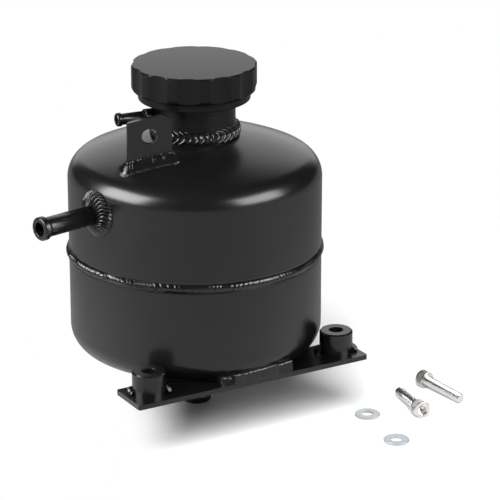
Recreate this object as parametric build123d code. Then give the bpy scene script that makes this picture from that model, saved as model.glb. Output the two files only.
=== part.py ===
from build123d import *
import os
from math import asin, atan2, cos, degrees, pi, radians, sin, sqrt

# Welded aluminium coolant expansion tank. Millimetres, +Z up.
# The origin is midway between the two mounting holes, on the underside of the bracket plate.
# The bracket is at the front (-Y), and the tank stands behind it.

# Tank shells
tank_radius = 62.5
wall = 3.0
corner_radius = 12.3
end_dome_radius = 135.0
lower_corner_height = 13.2
seam_height = 51.9
upper_corner_height = 88.9

# Girth weld
girth_bead_width = 5.4
girth_bead_rise = 1.4
weld_root_depth = 1.2

# Clearance between a tube or plate and the hole or cut-out it is welded into
weld_fit = 0.08

# A fillet weld's face passes through this share of both its legs, so it stands a little proud
weld_crown_share = 0.62

# How far a cutting shape reaches past the face that it cuts
overcut = 1.0

# Filler neck, heights above the top of the upper dome
neck_radius = 20.1
neck_inside_depth = 4.0
neck_head_radius = 22.5
neck_head_start = 16.8
neck_rim_rise = 27.7
neck_chamfer = 0.8
seal_bore_radius = 15.0
seal_bore_rise = 5.5
upper_bore_radius = 17.6
neck_weld_height = 3.9
neck_weld_leg = 3.0

# Cap knob
knob_radius = 30.7
knob_skirt_radius = 27.4
knob_height = 17.9
knob_top_thickness = 4.7
knob_top_chamfer = 0.7
knob_lobe_round = 3.35
lobe_height = 14.2
lobe_count = 12
scallop_depth = 1.3
scallop_width = 10.7
knob_turn = 11.0
knob_thread_clearance = 0.35
knob_edge_round = 0.6
gasket_thickness = 1.6
gasket_inner_radius = 18.7
spigot_radius = 6.0
spigot_length = 5.6
snap_ring_thickness = 1.0
snap_ring_groove = 0.8
snap_ring_rise = 1.4
snap_ring_lip = 1.6
snap_ring_opening = 2.4

# Valve plug that hangs under the knob
running_clearance = 0.08
plug_top_thickness = 2.4
plug_top_gap = 0.3
plug_flange_radius = 16.6
plug_radius = 14.2
plug_bore_radius = 11.8
seat_bore_radius = 7.6
seat_thickness = 2.4
plug_foot_rise = -1.4
o_ring_wire = 2.4
o_ring_gap = 0.15
o_ring_groove_gap = 0.1
o_ring_rise = 2.6
vent_count = 4
vent_radius = 2.0

# Relief valve and vacuum valve
valve_seal_thickness = 1.2
valve_seal_inner_radius = 6.6
valve_plate_radius = 10.6
valve_plate_thickness = 1.8
valve_guide_radius = 3.6
relief_wire = 1.5
relief_spring_radius = 8.6
relief_turns = 5
relief_seal_inset = 0.4
relief_collar_height = 0.8
spring_end_gap = 0.1
vacuum_disc_radius = 5.4
vacuum_disc_thickness = 1.2
vacuum_disc_drop = 0.3
vacuum_stem_radius = 1.3
vacuum_stem_length = 12.0
vacuum_wire = 0.5
vacuum_spring_radius = 2.3
vacuum_turns = 4
vacuum_stem_gap = 0.68
clip_radius = 3.3
clip_thickness = 0.8
clip_drop = 0.6

# Overflow barb in the neck
overflow_rise = 9.7
overflow_azimuth = 174.0
overflow_reach = 41.0
overflow_tube_radius = 2.8
overflow_bead_radius = 3.35
overflow_bore_radius = 1.75
overflow_bead_length = 2.9
overflow_collar_radius = 3.6
overflow_collar_length = 6.4
overflow_inside_gap = 0.3

# Side barb in the upper shell
side_azimuth = 191.5
side_drop = 6.4
side_reach = 96.3
side_tube_radius = 4.75
side_bead_radius = 5.75
side_bore_radius = 3.3
side_bead_length = 4.4
side_weld_radius = 11.8
side_weld_height = 3.0
barb_inside = 1.5

# Outlet barb under the lower dome
outlet_length = 21.0
outlet_tube_radius = 6.35
outlet_bead_radius = 7.3
outlet_bore_radius = 4.75
outlet_bead_length = 4.8
outlet_weld_leg = 3.2
barb_edge_round = 0.9
barb_ramp = 1.4

# Support tab on the upper dome
tab_distance = 41.6
tab_azimuth = 210.1
tab_turn = -20.0
tab_slope = 11.3
tab_width = 21.5
tab_height = 23.0
tab_thickness = 2.5
tab_outer_round = 1.5
tab_inner_round = 5.0
tab_hole_radius = 3.75
tab_hole_drop = 9.1
tab_weld_leg = 4.0
tab_weld_height = 3.4
tab_weld_lip = 0.35
tab_weld_edge_round = 0.4

# Bracket plate and bosses
boss_inset = 10.0
boss_radius = 8.2
boss_height = 10.9
boss_hole_radius = 3.3
boss_chamfer = 0.7
boss_tank_gap = 0.9
tank_side_offset = 0.8
plate_thickness = 2.4
plate_left_margin = 4.2
plate_right_margin = 2.1
plate_front_margin = 5.0
plate_strip = 6.4
plate_back_margin = 10.2
plate_corner_round = 1.2
bracket_weld_half_span = 20.3
bracket_weld_height = 4.2
bracket_weld_lip = 0.4
boss_weld_leg = 2.6
boss_weld_angle = 46.0

# Screws and washers supplied loose beside the tank
screw_radius = 2.5
screw_length = 25.0
screw_head_radius = 4.25
screw_head_height = 5.0
screw_socket_flats = 4.0
screw_socket_depth = 2.6
screw_edge = 0.4
washer_radius = 6.4
washer_hole_radius = 2.7
washer_thickness = 1.2
far_screw_x = 110.7
far_screw_y = -8.0
far_screw_turn = 97.9
near_screw_x = 88.3
near_screw_y = -14.2
near_screw_turn = 259.1
far_washer_x = 64.1
far_washer_y = -12.0
near_washer_x = 59.3
near_washer_y = -45.4

# Places worked out from the sizes above
boss_spacing = 2 * (tank_radius - boss_inset)
near_boss_side = boss_spacing / 2 - tank_side_offset
boss_reach = tank_radius + boss_tank_gap + boss_radius
tank_setback = sqrt(boss_reach**2 - near_boss_side**2)
tank_place = Pos(tank_side_offset, tank_setback, 0)
corner_ring = tank_radius - corner_radius
dome_fall = sqrt((end_dome_radius - corner_radius)**2 - corner_ring**2)
dome_top = upper_corner_height - dome_fall + end_dome_radius
dome_bottom = lower_corner_height + dome_fall - end_dome_radius
neck_rim = dome_top + neck_rim_rise
knob_ceiling = neck_rim + gasket_thickness
knob_top = knob_ceiling + knob_top_thickness
knob_bottom = knob_top - knob_height
spigot_bottom = knob_ceiling - spigot_length
snap_ring_bottom = spigot_bottom + snap_ring_rise
plug_top = snap_ring_bottom + snap_ring_thickness + plug_top_gap + plug_top_thickness
plug_ceiling = plug_top - plug_top_thickness
plug_foot = dome_top + plug_foot_rise
seat_top = plug_foot + seat_thickness
valve_bottom = seat_top + valve_seal_thickness
valve_top = valve_bottom + valve_plate_thickness
vacuum_top = valve_bottom - vacuum_disc_drop
clip_bottom = vacuum_top + vacuum_stem_length - clip_drop - clip_thickness
overflow_height = dome_top + overflow_rise
side_height = upper_corner_height - side_drop
outlet_end = dome_bottom - outlet_length
plate_drop = lower_corner_height - plate_thickness
tank_radius_at_plate = corner_ring + sqrt(corner_radius**2 - plate_drop**2)
tank_front_at_plate = tank_radius_at_plate - tank_setback
plate_front = max(boss_radius + plate_front_margin, tank_front_at_plate + plate_strip)


def ring(inner, outer, bottom, top):
    """A plain ring about the tank's axis."""
    return Pos(0, 0, bottom) * extrude(Circle(outer) - Circle(inner), top - bottom)


def turned(*corners):
    """A solid of revolution about Z from (radius, height) corners."""
    outline = Polyline([(radius, 0, height) for radius, height in corners], close=True)
    return revolve(make_face(outline), Axis.Z)


def lathe(*lines):
    """A solid of revolution about Z from lines and arcs that follow each other."""
    edges = []
    for line in lines:
        edges.extend(line.edges())
    return revolve(make_face(Wire(edges)), Axis.Z)


def rounded(centre_radius, centre_height, radius, start, end):
    """An arc in a turned outline, between two angles in degrees above the outward direction."""
    angles = [radians(start), radians((start + end) / 2), radians(end)]
    points = [
        (centre_radius + radius * cos(angle), 0, centre_height + radius * sin(angle))
        for angle in angles
    ]
    return ThreePointArc(*points)


def end_profile(offset, corner_height, side, start_height):
    """Points of a domed end: wall, corner arc and dome, moved inwards by offset.

    side is 1 for the upper end and -1 for the lower end.
    """
    small = corner_radius - offset
    large = end_dome_radius - offset
    dome_centre = corner_height - side * dome_fall
    tangent = atan2(dome_fall, corner_ring)
    wall_foot = (tank_radius - offset, 0, start_height)
    corner_start = (tank_radius - offset, 0, corner_height)
    half = tangent / 2
    corner_mid = (corner_ring + small * cos(half), 0, corner_height + side * small * sin(half))
    corner_end = (corner_ring + small * cos(tangent), 0, corner_height + side * small * sin(tangent))
    middle = (tangent + pi / 2) / 2
    dome_mid = (large * cos(middle), 0, dome_centre + side * large * sin(middle))
    crown = (0, 0, dome_centre + side * large)
    return wall_foot, corner_start, corner_mid, corner_end, dome_mid, crown


def end_solid(offset, corner_height, side, start_height):
    """The filled shape of one tank end out to the wall surface moved inwards by offset."""
    foot, start, mid, end, dome_mid, crown = end_profile(offset, corner_height, side, start_height)
    return lathe(
        Line((0, 0, start_height), foot),
        Line(foot, start),
        ThreePointArc(start, mid, end),
        ThreePointArc(end, dome_mid, crown),
        Line(crown, (0, 0, start_height)),
    )


def upper_end():
    """The filled upper half, for cutting what lies against it."""
    return end_solid(0, upper_corner_height, 1, seam_height)


def lower_end():
    """The filled lower half, for cutting what lies against it."""
    return end_solid(0, lower_corner_height, -1, seam_height)


def shell(corner_height, side, hole_radius):
    """One pressed tank half: open at the seam, chamfered there, with a hole in its dome."""
    outer = end_solid(0, corner_height, side, seam_height)
    inner = end_solid(wall, corner_height, side, seam_height)
    groove = turned(
        (tank_radius - weld_root_depth, seam_height),
        (tank_radius + overcut, seam_height),
        (tank_radius + overcut, seam_height + side * (weld_root_depth + overcut)),
    )
    reach = 2 * end_dome_radius
    hole = Pos(0, 0, seam_height + side * reach / 2) * Cylinder(hole_radius, reach)
    return outer - inner - groove - hole


def upper_shell():
    body = shell(upper_corner_height, 1, neck_radius + weld_fit)
    return body - side_barb_frame() * Cylinder(side_tube_radius + weld_fit, 4 * wall)


def lower_shell():
    return shell(lower_corner_height, -1, outlet_tube_radius + weld_fit)


def girth_weld():
    """The weld bead round the seam, with its root in the groove between the halves."""
    half = girth_bead_width / 2
    root = turned(
        (tank_radius - weld_root_depth, seam_height),
        (tank_radius, seam_height - weld_root_depth),
        (tank_radius, seam_height + weld_root_depth),
    )
    crown = lathe(
        Line((tank_radius, 0, seam_height - half), (tank_radius, 0, seam_height + half)),
        ThreePointArc(
            (tank_radius, 0, seam_height + half),
            (tank_radius + girth_bead_rise, 0, seam_height),
            (tank_radius, 0, seam_height - half),
        ),
    )
    return root + crown


def dome_height(radius):
    """Height of the upper dome's outer face at a distance from the tank's axis."""
    return dome_top - end_dome_radius + sqrt(end_dome_radius**2 - radius**2)


def dome_underside(radius):
    """Height of the lower dome's outer face at a distance from the tank's axis."""
    return dome_bottom + end_dome_radius - sqrt(end_dome_radius**2 - radius**2)


def along_dome(inner, outer, height):
    """An arc of a turned outline that lies on a dome's outer face, from inner out to outer."""
    radii = (inner, (inner + outer) / 2, outer)
    return ThreePointArc(*[(radius, 0, height(radius)) for radius in radii])


def filler_neck():
    """Turned neck: plain stem, a wider head for the cap's thread, a seal bore and a vent bore."""
    bottom = dome_top - neck_inside_depth
    head = dome_top + neck_head_start
    step = neck_head_radius - neck_radius
    shoulder = dome_top + seal_bore_rise
    flare = upper_bore_radius - seal_bore_radius
    body = turned(
        (seal_bore_radius, bottom),
        (neck_radius, bottom),
        (neck_radius, head - step),
        (neck_head_radius, head),
        (neck_head_radius, neck_rim - neck_chamfer),
        (neck_head_radius - neck_chamfer, neck_rim),
        (upper_bore_radius, neck_rim),
        (upper_bore_radius, shoulder + flare),
        (seal_bore_radius, shoulder),
    )
    drill = overflow_frame() * Cylinder(overflow_tube_radius + weld_fit, 4 * overflow_reach)
    span = 4 * overflow_collar_radius
    keep = Pos(-overflow_reach, 0, overflow_height) * Box(2 * overflow_reach, span, span)
    return body - (drill & keep)


def neck_weld():
    """Fillet weld round the foot of the neck."""
    foot = neck_radius + neck_weld_leg
    crown = neck_radius + neck_weld_leg * weld_crown_share
    return lathe(
        along_dome(neck_radius, foot, dome_height),
        Polyline(
            (foot, 0, dome_height(foot)),
            (crown, 0, dome_height(crown) + neck_weld_height * weld_crown_share),
            (neck_radius, 0, dome_height(neck_radius) + neck_weld_height),
            (neck_radius, 0, dome_height(neck_radius)),
        ),
    )


def radial_frame(azimuth, height):
    """A frame whose Z axis points out of the tank along an azimuth, at a height."""
    direction = (cos(radians(azimuth)), sin(radians(azimuth)), 0)
    return Plane(origin=(0, 0, height), x_dir=(0, 0, 1), z_dir=direction).location


def overflow_frame():
    return radial_frame(overflow_azimuth, overflow_height)


def side_barb_frame():
    return radial_frame(side_azimuth, side_height) * Pos(0, 0, tank_radius)


def barb(start, tip, tube_radius, bead_radius, bore_radius, bead_length):
    """A bored hose spigot along +Z from start to tip, with a rounded bead behind its mouth."""
    slope = bead_radius - tube_radius
    lip = tip - barb_edge_round
    return lathe(
        Polyline(
            (bore_radius, 0, start),
            (tube_radius, 0, start),
            (tube_radius, 0, tip - bead_length),
            (bead_radius, 0, tip - bead_length + barb_ramp * slope),
            (bead_radius, 0, lip),
        ),
        rounded(bead_radius - barb_edge_round, lip, barb_edge_round, 0, 90),
        Polyline(
            (bead_radius - barb_edge_round, 0, tip),
            (bore_radius + barb_edge_round / 2, 0, tip),
            (bore_radius, 0, tip - barb_edge_round / 2),
            (bore_radius, 0, start),
        ),
    )


def overflow_barb():
    """Small spigot pressed into the neck, with a collar against the neck's wall."""
    inner = sqrt(upper_bore_radius**2 - overflow_tube_radius**2) + overflow_inside_gap
    spigot = barb(
        inner,
        overflow_reach,
        overflow_tube_radius,
        overflow_bead_radius,
        overflow_bore_radius,
        overflow_bead_length,
    )
    collar = Pos(0, 0, neck_radius - overcut) * extrude(
        Circle(overflow_collar_radius) - Circle(overflow_bore_radius), overflow_collar_length + overcut
    )
    stem = Pos(0, 0, overflow_height) * Cylinder(neck_radius + weld_fit, 4 * overflow_collar_radius)
    return overflow_frame() * spigot + (overflow_frame() * collar - stem)


def side_barb():
    frame = radial_frame(side_azimuth, side_height)
    return frame * barb(
        tank_radius - wall - barb_inside,
        side_reach,
        side_tube_radius,
        side_bead_radius,
        side_bore_radius,
        side_bead_length,
    )


def side_barb_weld():
    """Wide fillet weld round the side barb, from the barb down to the tank's wall."""
    dip = tank_radius - sqrt(tank_radius**2 - side_weld_radius**2)
    bore = side_tube_radius
    crown = bore + (side_weld_radius - bore) * 0.3
    fillet = turned(
        (bore, -wall / 2),
        (bore, side_weld_height * 0.8),
        (crown, side_weld_height),
        (bore + (side_weld_radius - bore) * 0.75, side_weld_height * 0.55),
        (side_weld_radius, 0),
        (side_weld_radius, -dip - wall / 2),
    )
    return side_barb_frame() * fillet - upper_end()


def outlet_barb():
    return Rot(180, 0, 0) * barb(
        -dome_bottom - wall - barb_inside,
        -outlet_end,
        outlet_tube_radius,
        outlet_bead_radius,
        outlet_bore_radius,
        outlet_bead_length,
    )


def outlet_weld():
    """Fillet weld between the lower dome and the outlet barb."""
    foot = outlet_tube_radius + outlet_weld_leg
    crown = outlet_tube_radius + outlet_weld_leg * weld_crown_share
    return lathe(
        along_dome(outlet_tube_radius, foot, dome_underside),
        Polyline(
            (foot, 0, dome_underside(foot)),
            (crown, 0, dome_underside(crown) - outlet_weld_leg * weld_crown_share),
            (outlet_tube_radius, 0, dome_underside(outlet_tube_radius) - outlet_weld_leg),
            (outlet_tube_radius, 0, dome_underside(outlet_tube_radius)),
        ),
    )


def tab_frame():
    """A frame at the tab's foot: X along the tab, Y through its thickness, Z up."""
    foot_x = tab_distance * cos(radians(tab_azimuth))
    foot_y = tab_distance * sin(radians(tab_azimuth))
    return Pos(foot_x, foot_y, dome_height(tab_distance)) * Rot(0, 0, tab_turn)


def support_tab():
    """Flat lug on the dome, its top edge parallel to the dome's slope, with a fixing hole."""
    half = tab_width / 2
    lift = half * sin(radians(tab_slope)) / cos(radians(tab_slope))
    deep = tab_height / 2
    outline = make_face(Polyline(
        (-half, 0, -deep),
        (half, 0, -deep),
        (half, 0, tab_height + lift),
        (-half, 0, tab_height - lift),
        close=True,
    ))
    blank = extrude(outline, tab_thickness, dir=(0, 1, 0))
    upright = blank.edges().filter_by(Axis.Y).sort_by(Axis.Z)
    blank = fillet(upright[-1], tab_inner_round)
    left = blank.edges().filter_by(Axis.Y).sort_by(Axis.X)
    left_top = [edge for edge in left if edge.center().X < -half + 0.1 and edge.center().Z > 0]
    blank = fillet(left_top, tab_outer_round)
    hole = Pos(0, tab_thickness / 2, tab_height - tab_hole_drop) * Rot(90, 0, 0)
    blank = blank - hole * Cylinder(tab_hole_radius, 4 * tab_thickness)
    return tab_frame() * blank - upper_end()


def tab_weld():
    """Fillet weld all round the foot of the tab, lying on the sloping dome."""
    foot_x = tab_distance * cos(radians(tab_azimuth))
    foot_y = tab_distance * sin(radians(tab_azimuth))
    lean = degrees(asin(tab_distance / end_dome_radius))
    along = radians(tab_azimuth)
    normal = (cos(along) * sin(radians(lean)), sin(along) * sin(radians(lean)), cos(radians(lean)))
    tab_line = (cos(radians(tab_turn)), sin(radians(tab_turn)), 0)
    resting = Plane(origin=(foot_x, foot_y, dome_height(tab_distance)), x_dir=tab_line, z_dir=normal)
    sink = wall / 2
    width = tab_width + 2 * tab_weld_leg
    depth = tab_thickness + 2 * tab_weld_leg
    centre_back = tab_thickness / 2
    low = Pos(0, centre_back, -sink) * RectangleRounded(width, depth, tab_weld_leg * 0.9)
    top_width = tab_width + 2 * tab_weld_lip
    top_depth = tab_thickness + 2 * tab_weld_lip
    high = Pos(0, centre_back, tab_weld_height) * RectangleRounded(top_width, top_depth, tab_weld_edge_round)
    mound = resting.location * loft([low, high])
    return mound - upper_end() - support_tab()


def bracket_plate():
    """Flat plate under the front of the tank, cut away to the tank's corner, with two holes."""
    left = -boss_spacing / 2 - boss_radius - plate_left_margin
    right = boss_spacing / 2 + boss_radius + plate_right_margin
    length = right - left
    depth = plate_front + plate_back_margin
    middle = Pos((left + right) / 2, plate_back_margin - depth / 2, 0)
    blank = middle * RectangleRounded(length, depth, plate_corner_round)
    blank = blank - tank_place * Circle(tank_radius_at_plate + weld_fit)
    for side in (-1, 1):
        blank = blank - Pos(side * boss_spacing / 2, 0) * Circle(boss_hole_radius)
    return extrude(blank, plate_thickness)


def bracket_weld():
    """Heavy weld in front of the tank: straight along the plate's edge, round along the tank."""
    top = plate_thickness + bracket_weld_height
    front = tank_setback + plate_front - weld_fit
    outer = corner_ring + sqrt(corner_radius**2 - (lower_corner_height - top)**2) + bracket_weld_lip
    inner = tank_radius_at_plate - weld_root_depth
    reach = bracket_weld_half_span
    low = weld_block(reach, [(-reach, -front), (0, -front), (reach, -front)], inner)
    high_ends = -sqrt(outer**2 - reach**2)
    high = weld_block(reach, [(-reach, high_ends), (0, -outer), (reach, high_ends)], inner)
    lofted = loft([Pos(0, 0, plate_thickness) * low, Pos(0, 0, top) * high], ruled=True)
    return lofted - lower_end()


def weld_block(reach, front_points, inner):
    """A level section of the bracket weld: a front edge, two sides and the back against the tank."""
    left, middle, right = front_points
    back = -sqrt(inner**2 - reach**2)
    if left[1] == middle[1]:
        front_edge = Line(left, right)
    else:
        front_edge = ThreePointArc(left, middle, right)
    edges = [
        front_edge,
        Line(right, (reach, back)),
        ThreePointArc((reach, back), (0, -inner), (-reach, back)),
        Line((-reach, back), left),
    ]
    return make_face(Wire(edges))


def boss(side):
    """Bored standoff on the bracket plate, chamfered round its top."""
    body = turned(
        (boss_hole_radius, 0),
        (boss_radius, 0),
        (boss_radius, boss_height - boss_chamfer),
        (boss_radius - boss_chamfer, boss_height),
        (boss_hole_radius + boss_chamfer / 2, boss_height),
        (boss_hole_radius, boss_height - boss_chamfer / 2),
    )
    return Pos(side * boss_spacing / 2, 0, plate_thickness) * body


def boss_welds():
    """Short fillet tacks on both sides of each boss."""
    fillet = make_face(Polyline(
        (boss_radius, 0, 0),
        (boss_radius + boss_weld_leg, 0, 0),
        (boss_radius + boss_weld_leg * 0.6, 0, boss_weld_leg * 0.75),
        (boss_radius, 0, boss_weld_leg),
        close=True,
    ))
    tacks = []
    for side in (-1, 1):
        for start in (0, 180):
            turn = Rot(0, 0, start - boss_weld_angle / 2)
            tack = revolve(turn * fillet, Axis.Z, boss_weld_angle)
            tacks.append(Pos(side * boss_spacing / 2, 0, plate_thickness) * tack)
    return Compound(children=tacks)


def cap_knob():
    """Scalloped billet knob: a closed top, twelve lobes, a plain skirt and a centre spigot."""
    lobe_bottom = knob_top - lobe_height
    round_start = lobe_bottom + knob_lobe_round
    bore = neck_head_radius + knob_thread_clearance
    body = lathe(
        Line((0, 0, knob_top), (knob_radius - knob_top_chamfer, 0, knob_top)),
        Line((knob_radius - knob_top_chamfer, 0, knob_top), (knob_radius, 0, knob_top - knob_top_chamfer)),
        Line((knob_radius, 0, knob_top - knob_top_chamfer), (knob_radius, 0, round_start)),
        rounded(knob_radius - knob_lobe_round, round_start, knob_lobe_round, 0, -90),
        Polyline(
            (knob_radius - knob_lobe_round, 0, lobe_bottom),
            (knob_skirt_radius, 0, lobe_bottom),
            (knob_skirt_radius, 0, knob_bottom + knob_edge_round),
            (knob_skirt_radius - knob_edge_round, 0, knob_bottom),
            (bore, 0, knob_bottom),
            (bore, 0, knob_ceiling),
            (spigot_radius, 0, knob_ceiling),
            (spigot_radius, 0, spigot_bottom),
            (0, 0, spigot_bottom),
            (0, 0, knob_top),
        ),
    )
    groove = ring(
        spigot_radius - snap_ring_groove,
        spigot_radius + overcut,
        snap_ring_bottom,
        snap_ring_bottom + snap_ring_thickness,
    )
    body = body - groove
    half_width = scallop_width / 2
    edge = sqrt(knob_radius**2 - half_width**2)
    sag = edge - (knob_radius - scallop_depth)
    scallop_radius = (half_width**2 + sag**2) / (2 * sag)
    distance = knob_radius - scallop_depth + scallop_radius
    pitch = 360 / lobe_count
    cutter = Cylinder(scallop_radius, 4 * knob_height)
    for step in range(lobe_count):
        angle = knob_turn + pitch / 2 + step * pitch
        body = body - Rot(0, 0, angle) * Pos(distance, 0, knob_top) * cutter
    return body


def cap_gasket():
    """Flat seal that the knob presses on the neck's rim."""
    return ring(gasket_inner_radius, neck_head_radius, neck_rim, knob_ceiling)


def snap_ring():
    """Open retaining ring in the spigot's groove, which carries the plug."""
    inner = spigot_radius - snap_ring_groove
    outer = spigot_radius + snap_ring_lip
    full = ring(inner, outer, snap_ring_bottom, snap_ring_bottom + snap_ring_thickness)
    gap = Pos(spigot_radius, 0, snap_ring_bottom) * Box(
        2 * spigot_radius, snap_ring_opening, 4 * snap_ring_thickness
    )
    return full - gap


def valve_plug():
    """Turned plug: a top plate on the knob's spigot, side vents, a seal groove and a valve seat."""
    groove_middle = dome_top + o_ring_rise
    groove_bottom = groove_middle - o_ring_wire / 2 - o_ring_groove_gap
    groove_top = groove_middle + o_ring_wire / 2 + o_ring_groove_gap
    groove_radius = o_ring_inner_radius()
    body = turned(
        (spigot_radius + running_clearance, plug_top),
        (plug_flange_radius, plug_top),
        (plug_flange_radius, plug_ceiling),
        (plug_radius, plug_ceiling),
        (plug_radius, groove_top),
        (groove_radius, groove_top),
        (groove_radius, groove_bottom),
        (plug_radius, groove_bottom),
        (plug_radius, plug_foot),
        (seat_bore_radius, plug_foot),
        (seat_bore_radius, seat_top),
        (plug_bore_radius, seat_top),
        (plug_bore_radius, plug_ceiling),
        (spigot_radius + running_clearance, plug_ceiling),
    )
    for step in range(vent_count):
        angle = 360 / vent_count * (step + 0.5)
        vent = radial_frame(angle, overflow_height) * Pos(0, 0, plug_radius) * Cylinder(vent_radius, plug_radius)
        body = body - vent
    return body


def o_ring_inner_radius():
    return seal_bore_radius - o_ring_gap - o_ring_wire


def plug_o_ring():
    """Round seal in the plug's groove, against the neck's seal bore."""
    centre = o_ring_inner_radius() + o_ring_wire / 2
    place = Plane(origin=(centre, 0, dome_top + o_ring_rise), x_dir=(1, 0, 0), z_dir=(0, 1, 0))
    return revolve(place * RegularPolygon(o_ring_wire / 2, 8), Axis.Z)


def relief_valve_plate():
    """Disc that the relief spring presses down, with a guide tube for the vacuum valve's stem."""
    bore = vacuum_stem_radius + vacuum_stem_gap
    return turned(
        (bore, valve_bottom),
        (valve_plate_radius, valve_bottom),
        (valve_plate_radius, valve_top),
        (valve_guide_radius, valve_top),
        (valve_guide_radius, valve_top + relief_collar_height),
        (bore, valve_top + relief_collar_height),
    )


def relief_valve_seal():
    """Rubber ring under the relief valve's disc, which closes on the plug's seat."""
    return ring(valve_seal_inner_radius, valve_plate_radius - relief_seal_inset, seat_top, valve_bottom)


def coil(radius, wire, bottom, top, turns):
    """An open coil spring of six-sided wire, between two heights."""
    pitch = (top - bottom - wire) / turns
    path = Helix(pitch, top - bottom - wire, radius)
    section = Plane(origin=path @ 0, z_dir=path % 0) * RegularPolygon(wire / 2, 6)
    return Pos(0, 0, bottom + wire / 2) * sweep(section, path=path)


def relief_spring():
    bottom = valve_top + spring_end_gap
    return coil(relief_spring_radius, relief_wire, bottom, plug_ceiling - spring_end_gap, relief_turns)


def vacuum_valve():
    """Small disc under the relief valve with a stem up through its guide."""
    return turned(
        (0, vacuum_top - vacuum_disc_thickness),
        (vacuum_disc_radius, vacuum_top - vacuum_disc_thickness),
        (vacuum_disc_radius, vacuum_top),
        (vacuum_stem_radius, vacuum_top),
        (vacuum_stem_radius, vacuum_top + vacuum_stem_length),
        (0, vacuum_top + vacuum_stem_length),
    )


def vacuum_clip():
    """Clip at the top of the vacuum valve's stem, on which its spring pushes."""
    return ring(vacuum_stem_radius, clip_radius, clip_bottom, clip_bottom + clip_thickness)


def vacuum_spring():
    bottom = valve_top + relief_collar_height + spring_end_gap
    return coil(vacuum_spring_radius, vacuum_wire, bottom, clip_bottom - spring_end_gap, vacuum_turns)


def screw():
    """Socket head cap screw along +Z, its shank's tip at the origin."""
    body = turned(
        (0, 0),
        (screw_radius - screw_edge, 0),
        (screw_radius, screw_edge),
        (screw_radius, screw_length),
        (screw_head_radius, screw_length),
        (screw_head_radius, screw_length + screw_head_height - screw_edge),
        (screw_head_radius - screw_edge, screw_length + screw_head_height),
        (0, screw_length + screw_head_height),
    )
    socket = extrude(RegularPolygon(screw_socket_flats / 2, 6, major_radius=False), screw_socket_depth)
    return body - Pos(0, 0, screw_length + screw_head_height - screw_socket_depth) * socket


def lying_screw(x, y, turn):
    """A screw on the floor, its head towards turn, resting on the head's rim and the shank's tip."""
    lean = degrees(asin((screw_head_radius - screw_radius) / screw_length))
    middle = Pos(0, 0, -(screw_length + screw_head_height) / 2)
    fallen = Rot(0, 0, turn) * Rot(0, 90 - lean, 0) * middle * screw()
    return Pos(x, y, outlet_end - fallen.bounding_box().min.Z) * fallen


def mounting_screws():
    """Two loose screws lying beside the tank."""
    far = lying_screw(far_screw_x, far_screw_y, far_screw_turn)
    near = lying_screw(near_screw_x, near_screw_y, near_screw_turn)
    return Compound(children=[far, near])


def washers():
    """Two loose washers lying beside the tank."""
    flat = extrude(Circle(washer_radius) - Circle(washer_hole_radius), washer_thickness)
    far = Pos(far_washer_x, far_washer_y, outlet_end) * flat
    near = Pos(near_washer_x, near_washer_y, outlet_end) * flat
    return Compound(children=[far, near])


def save(name, part):
    export_step(part, os.path.join("parts", name + ".step"))


os.makedirs("parts", exist_ok=True)

on_tank_axis = {
    "upper_shell": upper_shell,
    "lower_shell": lower_shell,
    "girth_weld": girth_weld,
    "filler_neck": filler_neck,
    "neck_weld": neck_weld,
    "overflow_barb": overflow_barb,
    "side_barb": side_barb,
    "side_barb_weld": side_barb_weld,
    "outlet_barb": outlet_barb,
    "outlet_weld": outlet_weld,
    "support_tab": support_tab,
    "tab_weld": tab_weld,
    "bracket_weld": bracket_weld,
    "cap_knob": cap_knob,
    "cap_gasket": cap_gasket,
    "snap_ring": snap_ring,
    "valve_plug": valve_plug,
    "plug_o_ring": plug_o_ring,
    "relief_valve_plate": relief_valve_plate,
    "relief_valve_seal": relief_valve_seal,
    "relief_spring": relief_spring,
    "vacuum_valve": vacuum_valve,
    "vacuum_clip": vacuum_clip,
    "vacuum_spring": vacuum_spring,
}
for name, make in on_tank_axis.items():
    save(name, tank_place * make())

save("bracket_plate", bracket_plate())
save("left_boss", boss(-1))
save("right_boss", boss(1))
save("boss_welds", boss_welds())
save("mounting_screws", mounting_screws())
save("washers", washers())
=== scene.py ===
from math import atan2, cos, pi, radians, sin, sqrt, tan
import bpy
import numpy as np
from mathutils import Matrix, Vector


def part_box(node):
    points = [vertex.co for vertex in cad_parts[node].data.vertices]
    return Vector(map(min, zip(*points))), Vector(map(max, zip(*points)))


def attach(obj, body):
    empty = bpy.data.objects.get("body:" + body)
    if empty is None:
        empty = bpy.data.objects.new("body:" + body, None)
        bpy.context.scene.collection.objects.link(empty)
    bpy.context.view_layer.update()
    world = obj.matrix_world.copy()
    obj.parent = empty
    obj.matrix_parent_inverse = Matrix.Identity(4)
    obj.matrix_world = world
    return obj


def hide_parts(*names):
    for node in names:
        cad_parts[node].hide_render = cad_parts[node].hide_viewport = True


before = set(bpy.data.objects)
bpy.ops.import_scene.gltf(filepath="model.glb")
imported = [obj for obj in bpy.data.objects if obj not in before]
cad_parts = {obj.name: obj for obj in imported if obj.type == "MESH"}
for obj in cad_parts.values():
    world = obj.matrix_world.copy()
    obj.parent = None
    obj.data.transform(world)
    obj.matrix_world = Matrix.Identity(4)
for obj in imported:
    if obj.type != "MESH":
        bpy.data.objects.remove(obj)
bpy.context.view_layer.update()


# Measures of the frame, in metres

def sizeOf(node):
    low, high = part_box(node)
    return np.array(low), np.array(high)


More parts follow.
